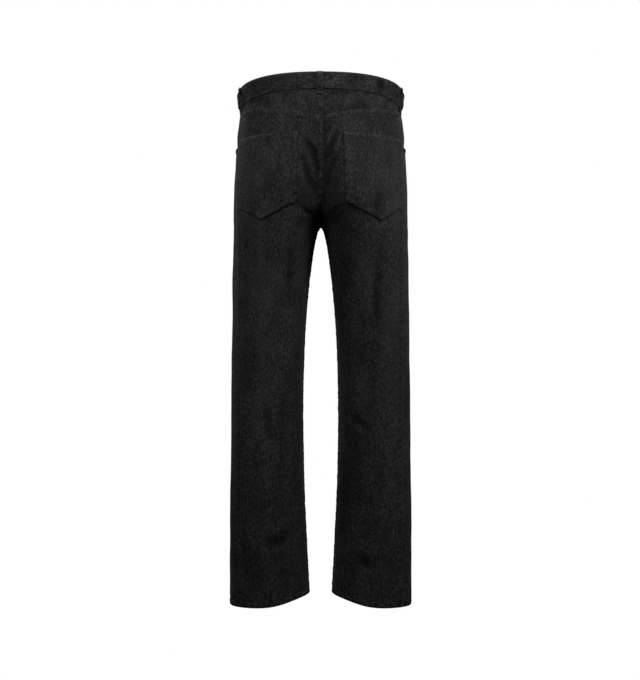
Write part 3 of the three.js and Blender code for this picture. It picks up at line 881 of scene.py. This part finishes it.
# Fly
# The left front's edge, folded under and laid over the right front from the waistband to the curve
# of its foot.
FLY_SEED = 47
mesh = refined("fly")
points, normals, from_seam = measured(mesh)
lift = swelling(points, FLY_SEED, height=0.2, length=18) * eased(from_seam, reach=3)
# Rubbed paler along its edges and on raised cloth; painted shade in its hollows.
finish_skin(mesh, points, normals, lift, 0.6 * fading(from_seam, reach=2.5) + lift / MM, -lift / MM)
add_to_skin(mesh)
fly = cloth_object("fly", mesh, THIN)


# Waistband
# A straight strip cut along the cloth and folded over a stiff lining: two layers, 37 mm tall, whose
# ends lap at the front. Its grain runs round the waist, and it is rubbed pale along the top fold.
DOUBLE_THICK = 3 * MM
BAND_SEED = 51
mesh = SKINS["waistband"]
points, normals, from_seam = measured(mesh)
rounding = -1.1 * MM * fading(from_seam, reach=1.2)
pucker = swelling(points, BAND_SEED, height=0.32, length=9, drawn=0.4) * fading(from_seam, reach=6)
swell = swelling(points, BAND_SEED + 1, height=0.35, length=38)
lift = rounding + (pucker + swell) * eased(from_seam, reach=2)
# Rubbed pale by its edges and on the puckers' tops; painted shade in the hollows of the puckers and swell.
wear_and_highlight = 0.9 * around(from_seam, middle=2.5, width=2) + pucker / MM
finish_skin(mesh, points, normals, lift, wear_and_highlight, -(pucker + swell) / (1.3 * MM))
add_to_skin(mesh)
waistband = cloth_object("waistband", mesh, DOUBLE_THICK, BAND_DENIM)


# Hems
# Each leg is turned up twice and sewn 12 mm above its edge. The cloth ropes there: it twists into a
# row of slanting rolls, rubbed pale on top.
ROLL_SLANT = np.array([[0.8, 0.8, 0]])
ROLL_LENGTH = 8 * MM
for node, seed in (("left_hem", 61), ("right_hem", 67)):
    mesh = SKINS[node]
    points, normals, from_seam = measured(mesh)
    rolls = ripples(points + points[:, 2:] * ROLL_SLANT, ROLL_LENGTH, seed)
    rope = 0.35 * MM * rolls * eased(from_seam, reach=2)
    lift = rope - 1.0 * MM * fading(from_seam, reach=1.2)
    # Rubbed pale on the rolls' tops; painted shade over the whole hem, deeper between the rolls.
    wear_and_highlight = 0.08 + 0.5 * rolls * fading(from_seam, reach=4)
    finish_skin(mesh, points, normals, lift, wear_and_highlight, 0.25 - rolls * 0.5)
    add_to_skin(mesh)
    hem = cloth_object(node, mesh, DOUBLE_THICK)


# Back patch pockets
# Two five-sided pockets with straight tops and low points, laid on the back legs and sewn round
# three sides with a double row. They are worn paler than the legs, and puff a little between rows.
POCKET_TOP_SLOPE = 16 * MM
POCKET_INNER = 62 * MM
BEAD_LENGTH = 8 * MM
HEM_RUB_AT = 6 * MM
HEM_RUB_WIDTH = 5 * MM
for node, seed in zip(POCKET_NODES, (71, 79)):
    mesh = POCKET_SKINS[node]
    points, normals, from_seam = measured(mesh)
    border = border_of(mesh)
    from_top = distance_to(points, border[border[:, 2] > border[:, 2].max() - POCKET_TOP_SLOPE])
    beads = ripples(points, BEAD_LENGTH, seed + 2)
    puff = 0.45 * MM * around(from_seam, middle=5.5, width=2.4) * (1 + 0.8 * beads)
    swell = swelling(points, seed + 1, height=0.35, length=50, drawn=0.5)
    edge = -0.6 * MM * fading(from_seam, reach=1.4)
    groove = -0.35 * MM * around(from_top, middle=12.5, width=1.5)
    lift = puff + swell * eased(from_seam, reach=12) + edge + groove
    on_edge = around(from_seam, middle=4, width=3.5)
    on_edge *= 1 + 0.6 * (np.abs(points[:, 0]) < POCKET_INNER)
    on_hem = np.exp(-(((from_top - HEM_RUB_AT) / HEM_RUB_WIDTH) ** 4))
    # Painted shade along the pocket's edge, in the groove under its top hem, between the beads, in the
    # hollows of the swell and in the listed soft patches; painted highlight where a patch is below 0, on top
    # of paler rubbed beads, top hem and raised cloth.
    painted_light = patch_light_and_shade(points, normals, LIGHT_AND_SHADE_PATCHES)
    wear_and_highlight = on_edge * (0.35 + 0.45 * beads) + 0.35 * on_hem + swell / (2.5 * MM) - painted_light
    shade = 0.5 * fading(from_seam, reach=1) - groove / (0.8 * MM) - 0.3 * on_edge * beads
    finish_skin(mesh, points, normals, lift, wear_and_highlight, shade - swell / (2.5 * MM) + painted_light)
    add_to_skin(mesh)
    pocket = cloth_object(node, mesh, DENIM_THICK, POCKET_DENIM)


# Belt loops
# Five narrow straps folded from the denim, 13 mm wide, standing off the waistband between bar tacks.
LOOP_NODES = ("loop_back", "loop_left_side", "loop_right_side", "loop_left_front", "loop_right_front")
LOOP_THICK = 2 * MM
LOOP_SEED = 91
for seed, node in enumerate(LOOP_NODES, LOOP_SEED):
    mesh = refined(node)
    points, normals, from_seam = measured(mesh)
    lift = -0.7 * MM * fading(from_seam, reach=1.1) + swelling(points, seed, height=0.15, length=12)
    finish_skin(mesh, points, normals, lift, 0.7 * around(from_seam, middle=1.6, width=1.2), 0)
    loop = cloth_object(node, mesh, LOOP_THICK)


# Felled seams
# Where two panels meet, one edge is folded over the other and sewn down flat with two rows. It
# leaves a ridge about 12 mm wide, puckered between the rows and rubbed along its folds.
STRIP_STEP = 2.6 * MM
STRIP_CELLS = 12
STRIP_RISE = 0.95 * MM
STRIP_SUNK = 0.25 * MM
STRIP_FOLD = 1.6 * MM
STRIP_THICK = 0.9 * MM
ROW_FROM_FOLD = 2.3 * MM
ROW_GROOVE = 0.35 * MM
SEAM_REACH = 1.8 * MM
BEAD_SLANT = 0.4
BEAD_HEIGHT = 0.3 * MM
BEAD_FROM = 2 * MM
SIDE_LEAN = 5 * MM
INSEAM_LEAN = 2 * MM


def skin_tree():
    """The finished skins as one surface to lay things on."""
    return BVHTree.FromPolygons([Vector(point) for point in SKIN_POINTS], SKIN_FACES)


def resampled(line, step):
    """The line as evenly spaced points."""
    run = np.concatenate(([0], np.cumsum(np.linalg.norm(np.diff(line, axis=0), axis=1))))
    places = np.linspace(0, run[-1], max(2, round(run[-1] / step) + 1))
    return np.stack([np.interp(places, run, line[:, k]) for k in range(3)], 1)


def seam_line(first, second, axis, side=None):
    """The line where two sewn pieces meet, sorted along an axis, on one side of the leg's axis."""
    points = BORDERS[first]
    points = points[distance_to(points, BORDERS[second]) < SEAM_REACH]
    if side:
        points = points[(np.abs(points[:, 0]) > LEG_AXIS) == (side == "outer")]
    return resampled(points[np.argsort(points[:, axis])], STRIP_STEP)


def laid_on(surface, line, aside=0.0):
    """Lays a line on a surface, moved aside along it. Returns points, normals and tangents."""
    tangents = np.gradient(line, axis=0)
    tangents /= np.linalg.norm(tangents, axis=1)[:, None] + TINY
    spots, normals = [], []
    for point, tangent in zip(line, tangents):
        place, normal, _, _ = surface.find_nearest(point)
        if aside:
            across = normal.cross(Vector(tangent)).normalized()
            place, normal, _, _ = surface.find_nearest(Vector(point) + across * aside)
        spots.append(place)
        normals.append(normal)
    return np.array(spots), np.array(normals), tangents


def seam_strip(name, line, surface, seed, lean, roping):
    """A folded ridge laid along a line, its middle moved aside by lean."""
    offsets = np.linspace(-STRIP_WIDTH / 2, STRIP_WIDTH / 2, STRIP_CELLS + 1)
    columns = [laid_on(surface, line, lean + offset)[:2] for offset in offsets]
    along = np.arange(len(line)) * STRIP_STEP
    rows, bead_rows = [], []
    for offset, (spots, normals) in zip(offsets, columns):
        from_fold = STRIP_WIDTH / 2 - abs(offset)
        rise = STRIP_RISE * min(1, from_fold / STRIP_FOLD) ** 0.5 - STRIP_SUNK
        groove = ROW_GROOVE * around(from_fold, middle=ROW_FROM_FOLD / MM, width=1.1)
        slanted = np.stack((along, np.full(len(along), BEAD_SLANT * offset), along * 0), 1)
        beads = ripples(slanted, BEAD_LENGTH, seed)
        bead_lift = BEAD_HEIGHT * roping * beads * min(1, from_fold / BEAD_FROM)
        rows.append(spots + normals * (rise - groove + bead_lift)[:, None])
        bead_rows.append(beads)
    grid = bmesh.new()
    bmesh.ops.create_grid(grid, x_segments=STRIP_CELLS, y_segments=len(line) - 1, size=0.5, calc_uvs=False)
    order = sorted(grid.verts, key=lambda vert: (round(vert.co.x, 5), round(vert.co.y, 5)))
    places = np.stack(rows).reshape(-1, 3)
    grid.verts.index_update()
    bead_rise = np.empty(len(places))
    for vert, place, bead in zip(order, places, np.concatenate(bead_rows)):
        vert.co = place
        bead_rise[vert.index] = bead
    grid.normal_update()
    face_out = sum((face.normal for face in order[len(places) // 2].link_faces), Vector())
    if face_out.dot(Vector(columns[STRIP_CELLS // 2][1][len(line) // 2])) < 0:
        bmesh.ops.reverse_faces(grid, faces=grid.faces)
    mesh = bpy.data.meshes.new(name)
    grid.to_mesh(mesh)
    grid.free()
    points = points_of(mesh)
    from_fold = distance_to(points, np.vstack((rows[1], rows[-2])))
    from_rim = distance_to(points, np.vstack((rows[0], rows[-1])))
    # Painted shade along the strip's rims, between the beads and in the listed soft patches; painted
    # highlight where a patch is below 0, on top of the cloth rubbed pale on the folds and the beads' tops.
    painted_light = patch_light_and_shade(points, normals_of(mesh), LIGHT_AND_SHADE_PATCHES)
    rubbed = 0.4 * fading(from_fold, reach=1.6) + 0.3 * roping * bead_rise
    set_mask(mesh, "wear_and_highlight", rubbed + 0.7 * max(0, roping - 1) - 0.5 * painted_light)
    set_mask(mesh, "shade", 0.8 * fading(from_rim, reach=1) - 0.4 * bead_rise + painted_light)
    set_cloth_map(mesh, wrapped(points))
    return mesh


# Name, the two pieces, axis, side of the leg's axis, lean, how strongly it ropes, seed.
SEAMS = (
    ("left_yoke_seam", ("left_yoke", "left_back_leg"), 0, None, 0, 1.5, 101),
    ("right_yoke_seam", ("right_yoke", "right_back_leg"), 0, None, 0, 1.5, 102),
    ("middle_yoke_seam", ("left_yoke", "right_yoke"), 2, None, 0, 1, 103),
    ("middle_back_seam", ("left_back_leg", "right_back_leg"), 2, None, 0, 1, 104),
    ("left_side_seam", ("left_back_leg", "left_front_leg"), 2, "outer", SIDE_LEAN, 0.8, 105),
    ("right_side_seam", ("right_back_leg", "right_front_leg"), 2, "outer", SIDE_LEAN, 0.8, 106),
    ("left_inseam", ("left_back_leg", "left_front_leg"), 2, "inner", INSEAM_LEAN, 0.8, 107),
    ("right_inseam", ("right_back_leg", "right_front_leg"), 2, "inner", INSEAM_LEAN, 0.8, 108),
    ("middle_front_seam", ("left_front_leg", "right_front_leg"), 2, None, 0, 1, 109),
)
SEAM_PATHS = {}
panels_alone = skin_tree()
for name, (first, second), axis, side, lean, roping, seed in SEAMS:
    line = seam_line(first, second, axis, side)
    SEAM_PATHS[name] = line
    mesh = seam_strip(name, line, panels_alone, seed, lean, roping)
    piece_object(name, mesh, LEG_DENIM, STRIP_THICK)
    add_to_skin(mesh)


# Topstitching
# Lockstitch rows in black thread, three to the centimetre: two on every felled seam, round each
# pocket, on the fly and at the pocket mouths, one on each pocket's top hem, on each edge of the
# waistband, on the hems and on each edge of a loop.
STITCH_PITCH = 3.3 * MM
STITCH_LENGTH = 2.8 * MM
THREAD_RADIUS = 0.34 * MM
THREAD_SUNK = 0.1 * MM
THREAD_BREADTH = 1.15
STITCH_SIDES = 4
# Share of the length, share of the radius, rise in radii.
STITCH_RINGS = ((-0.5, 0.25, -0.9), (-0.28, 1, 0.2), (0.28, 1, 0.2), (0.5, 0.25, -0.9))
CORNER_TURN = math.radians(32)
INSET_SHARE = 0.93
LEVEL_SLOPE = 0.35
POCKET_ROWS = (2.2 * MM, 8.8 * MM)
POCKET_TOP_ROWS = (12.5 * MM,)
BAND_ROW = 2.4 * MM
HEM_ROW = 1.6 * MM
LOOP_ROW = 2.2 * MM
FLY_ROWS = (2.5 * MM, 8 * MM)
MOUTH_ROWS = (2.2 * MM, 8.5 * MM)
MOUTH_LOWEST = -150 * MM
ON_BORDER = 0.3 * MM


def make_worn(name, dark, pale, grain, detail, specular=0.5, roughness=0.5):
    """A material that wanders between two colours. Returns it, its shader and the wandering value."""
    made = bpy.data.materials.new(name)
    made.use_nodes = True
    tree = made.node_tree
    shader = tree.nodes["Principled BSDF"]
    places = tree.nodes.new("ShaderNodeTexCoord")
    wander = stretched_noise(tree, places.outputs["Object"], (grain, grain, grain), detail)
    tree.links.new(colour_mix(tree, wander, dark, pale), shader.inputs["Base Color"])
    shader.inputs["Roughness"].default_value = roughness
    shader.inputs["Specular IOR Level"].default_value = specular
    return made, shader, wander


BLACK_THREAD, _, _ = make_worn(
    "black_thread", (0.006, 0.006, 0.006, 1), (0.03, 0.0295, 0.029, 1), 1500, 2, specular=0.25, roughness=0.6
)


def stitch_shape(length, radius):
    """One stitch along x: a thread that rises from the cloth, runs and dips again. Points and faces."""
    points, faces = [], []
    for along, swell, rise in STITCH_RINGS:
        for side in range(STITCH_SIDES):
            angle = math.tau * side / STITCH_SIDES
            points.append((along * length, math.cos(angle) * radius * swell * THREAD_BREADTH,
                           (math.sin(angle) * swell + rise) * radius))
    for first in range(0, (len(STITCH_RINGS) - 1) * STITCH_SIDES, STITCH_SIDES):
        for side in range(STITCH_SIDES):
            ahead = (side + 1) % STITCH_SIDES
            second = first + STITCH_SIDES
            faces.append((first + side, first + ahead, second + ahead, second + side))
    faces.append(tuple(reversed(range(STITCH_SIDES))))
    faces.append(tuple(range(len(points) - STITCH_SIDES, len(points))))
    return np.array(points), faces


def threads_object(
    name, rows, material=BLACK_THREAD, length=STITCH_LENGTH, radius=THREAD_RADIUS, turned=False
):
    """Joins rows of stitches, each of points, normals and tangents, into one piece."""
    shape, shape_faces = stitch_shape(length, radius)
    points, faces = [], []
    for row in rows:
        for spot, normal, tangent in zip(*row):
            across = np.cross(normal, tangent)
            across /= np.linalg.norm(across) + TINY
            ahead = np.cross(across, normal)
            if turned:
                ahead, across = across, -ahead
            start = len(points) * len(shape)
            points.append(spot - normal * THREAD_SUNK + shape @ np.array([ahead, across, normal]))
            faces.extend(tuple(start + index for index in face) for face in shape_faces)
    mesh = bpy.data.meshes.new(name)
    mesh.from_pydata(np.vstack(points).tolist(), [], faces)
    piece_object(name, mesh, material)


def border_lines(mesh):
    """The open edges of a skin as lines of points, cut at its corners."""
    cloth = bmesh.new()
    cloth.from_mesh(mesh)
    left = dict.fromkeys(edge for edge in cloth.edges if edge.is_boundary)
    lines = []
    while left:
        edge = next(iter(left))
        del left[edge]
        chain = list(edge.verts)
        while ahead := [other for other in chain[-1].link_edges if other in left]:
            del left[ahead[0]]
            chain.append(ahead[0].other_vert(chain[-1]))
        places = np.array([vert.co for vert in chain])
        steps = np.diff(places, axis=0)
        steps /= np.linalg.norm(steps, axis=1)[:, None]
        turns = np.arccos(np.clip((steps[:-1] * steps[1:]).sum(1), -1, 1))
        corners = [index + 1 for index in np.flatnonzero(turns > CORNER_TURN)]
        starts_in_corner = math.acos(max(-1, min(1, steps[-1] @ steps[0]))) > CORNER_TURN
        if chain[0] == chain[-1] and corners and not starts_in_corner:
            shift = corners[0]
            places = np.vstack((places[shift:-1], places[:shift + 1]))
            corners = [corner - shift for corner in corners[1:]]
        corners = [0, *corners, len(places) - 1]
        lines.extend(places[a:b + 1] for a, b in zip(corners, corners[1:]) if b - a > 1)
    cloth.free()
    return lines


def row_beside(line, inset, border, middle):
    """A row of stitch places that runs this far inside a border line, as far as the next border allows."""
    even = resampled(line, STITCH_PITCH)
    _, normals, tangents = laid_on(dressed, even)
    across = np.cross(normals, tangents)
    across /= np.linalg.norm(across, axis=1)[:, None]
    if ((middle - even) * across).sum() < 0:
        across = -across
    moved = even + across * inset
    clear = distance_to(moved, border) > INSET_SHARE * inset
    return laid_on(dressed, moved[clear]) if clear.sum() > 2 else ([], [], [])


def is_level(line):
    """Whether a line runs across more than up."""
    span = np.ptp(line, axis=0)
    return span[2] < LEVEL_SLOPE * math.hypot(span[0], span[1])


def outlines(node):
    """A piece's border, its middle and its border lines."""
    mesh = bpy.data.objects[node + "_cloth"].data
    return border_of(mesh), points_of(mesh).mean(0), border_lines(mesh)


dressed = skin_tree()
seam_rows = []
for name, _, _, _, lean, _, _ in SEAMS:
    even = resampled(SEAM_PATHS[name], STITCH_PITCH)[1:-1]
    for aside in (-1, 1):
        seam_rows.append(laid_on(dressed, even, lean + aside * (STRIP_WIDTH / 2 - ROW_FROM_FOLD)))
threads_object("seam_stitching", seam_rows)
for node in LOOP_NODES:
    add_to_skin(bpy.data.objects[node + "_cloth"].data)
dressed = skin_tree()

pocket_rows = []
for node in POCKET_NODES:
    border, middle, lines = outlines(node)
    for line in lines:
        top = is_level(line) and line[:, 2].mean() > middle[2]
        for inset in POCKET_TOP_ROWS if top else POCKET_ROWS:
            pocket_rows.append(row_beside(line, inset, border, middle))
threads_object("pocket_stitching", pocket_rows)

band_rows = []
for node, inset in (("waistband", BAND_ROW), ("left_hem", HEM_ROW), ("right_hem", HEM_ROW)):
    border, middle, lines = outlines(node)
    for line in lines:
        below = line[:, 2].mean() < middle[2]
        if "hem" in node and below:
            continue
        if is_level(line):
            even = resampled(line, STITCH_PITCH)
            band_rows.append(laid_on(dressed, even + np.array([0, 0, 1 if below else -1]) * inset))
        else:
            band_rows.append(row_beside(line, inset, border, middle))
threads_object("band_stitching", band_rows)

loop_rows = []
for node in LOOP_NODES:
    border, middle, lines = outlines(node)
    loop_rows.extend(row_beside(line, LOOP_ROW, border, middle) for line in lines if not is_level(line))
threads_object("loop_stitching", loop_rows)

front_rows, mouth_lines = [], []
fly_border, fly_middle, fly_lines = outlines("fly")
for line in fly_lines:
    if not is_level(line) and line[:, 0].mean() > fly_middle[0]:
        front_rows.extend(row_beside(line, inset, fly_border, fly_middle) for inset in FLY_ROWS)
for node in ("left_front_leg", "right_front_leg"):
    _, middle, lines = outlines(node)
    border = BORDERS[node]
    lines = [line for line in lines if line[:, 2].mean() > MOUTH_LOWEST]
    lines = [line for line in lines if distance_to(line, border).mean() < ON_BORDER]
    mouth = max(lines, key=len)
    mouth_lines.append(mouth)
    front_rows.extend(row_beside(mouth, inset, border, middle) for inset in MOUTH_ROWS)
threads_object("front_stitching", front_rows)


# Bar tacks
# Short dense bars of zigzag in paler thread, at the top corners of the back pockets, the ends of
# the belt loops, the ends of the pocket mouths and the foot of the fly.
TACK_PITCH = 0.75 * MM
TACK_WIDTH = 2.6 * MM
TACK_RADIUS = 0.36 * MM
TACK_LENGTH = 9 * MM
LEAST_TACKS = 4
POCKET_TOP_BAND = 14 * MM
POCKET_TACK_IN = 0.8 * MM
LOOP_TACK_IN = 3.2 * MM
LOOP_TACK_BAND = 2 * MM
LOOP_TACK_SHARE = 0.8
MOUTH_TACK_IN = 6 * MM
MOUTH_TACK_FROM = 1.5 * MM
MOUTH_TACK_FALL = 0.4
FOOT_TACK = (np.array([1, 0, 3]) * MM, np.array([9, 0, 5]) * MM)
TACK_THREAD, _, _ = make_worn(
    "tack_thread", (0.025, 0.0246, 0.0242, 1), (0.09, 0.0885, 0.087, 1), 1300, 2, specular=0.2, roughness=0.65
)


def tack(start, end):
    """A bar tack between two points near the skin."""
    count = max(LEAST_TACKS, round(np.linalg.norm(end - start) / TACK_PITCH))
    return laid_on(dressed, np.linspace(start, end, count))


tack_rows = []
for node in POCKET_NODES:
    border = border_of(POCKET_SKINS[node])
    top = border[border[:, 2] > border[:, 2].max() - POCKET_TOP_BAND]
    for end in (top[np.argmin(np.abs(top[:, 0]))], top[np.argmax(np.abs(top[:, 0]))]):
        inward = np.sign(points_of(POCKET_SKINS[node])[:, 0].mean() - end[0])
        start = end + np.array([inward * POCKET_TACK_IN, 0, -TACK_WIDTH])
        tack_rows.append(tack(start, start + np.array([inward * TACK_LENGTH, 0, 0])))
for node in LOOP_NODES:
    points = points_of(bpy.data.objects[node + "_cloth"].data)
    for level in (points[:, 2].max() - LOOP_TACK_IN, points[:, 2].min() + LOOP_TACK_IN):
        near = points[np.abs(points[:, 2] - level) < LOOP_TACK_BAND]
        middle = near.mean(0)
        spread = (near - middle) * np.array([1, 1, 0])
        far = spread[np.argmax(np.linalg.norm(spread, axis=1))] * LOOP_TACK_SHARE
        middle[2] = level
        tack_rows.append(tack(middle - far, middle + far))
for mouth in mouth_lines:
    for line in (mouth, mouth[::-1]):
        end = resampled(line, MM)[round(MOUTH_TACK_IN / MM)]
        inward = np.array([-np.sign(end[0]), 0, -MOUTH_TACK_FALL]) / math.hypot(1, MOUTH_TACK_FALL)
        tack_rows.append(tack(end + inward * MOUTH_TACK_FROM, end + inward * TACK_LENGTH))
foot = fly_border[np.argmin(fly_border[:, 2])]
tack_rows.append(tack(foot + FOOT_TACK[0], foot + FOOT_TACK[1]))
threads_object("bar_tacks", tack_rows, TACK_THREAD, TACK_WIDTH, TACK_RADIUS, turned=True)


# Waist button
# A plain dark metal tack button: a dished cap with a rolled rim, on a short shank through the lapped
# ends of the waistband.
BUTTON_TURNS = 48
# Share of the radius, share of the depth.
BUTTON_PROFILE = (
    (0, 0.62), (0.3, 0.62), (0.52, 0.66), (0.66, 0.78), (0.78, 0.95), (0.88, 1), (0.96, 0.94), (1, 0.8),
    (0.99, 0.66), (0.9, 0.56), (0.5, 0.5), (0.42, 0.42), (0.42, 0),
)
BUTTON_METAL, metal, metal_wear = make_worn(
    "button_metal", (0.02, 0.02, 0.021, 1), (0.075, 0.072, 0.07, 1), 900, 4
)
metal.inputs["Metallic"].default_value = 1
metal_tree = BUTTON_METAL.node_tree
metal_tree.links.new(ranged(metal_tree, metal_wear, 0.3, 0.7, 0.38, 0.6), metal.inputs["Roughness"])

cap_low, cap_high = (Vector(corner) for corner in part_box("waist_button"))
cap_middle = (cap_low + cap_high) / 2
cap_radius = (cap_high.x - cap_low.x) / 2
cap_depth = cap_high.y - cap_low.y
cap = bmesh.new()
profile = [cap.verts.new((radius * cap_radius, 0, depth * cap_depth)) for radius, depth in BUTTON_PROFILE]
outline = [cap.edges.new(pair) for pair in zip(profile, profile[1:])]
bmesh.ops.spin(
    cap, geom=profile + outline, axis=(0, 0, 1), cent=(0, 0, 0), angle=math.tau, steps=BUTTON_TURNS
)
bmesh.ops.remove_doubles(cap, verts=cap.verts, dist=SAME_PLACE)
bmesh.ops.holes_fill(cap, edges=cap.edges, sides=0)
bmesh.ops.rotate(cap, verts=cap.verts, cent=(0, 0, 0), matrix=Matrix.Rotation(math.pi / 2, 3, "X"))
bmesh.ops.translate(cap, verts=cap.verts, vec=(cap_middle.x, cap_high.y, cap_middle.z))
bmesh.ops.recalc_face_normals(cap, faces=cap.faces)
cap_mesh = bpy.data.meshes.new("waist_button_metal")
cap.to_mesh(cap_mesh)
cap.free()
button = piece_object("waist_button_metal", cap_mesh, BUTTON_METAL)
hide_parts("waist_button")
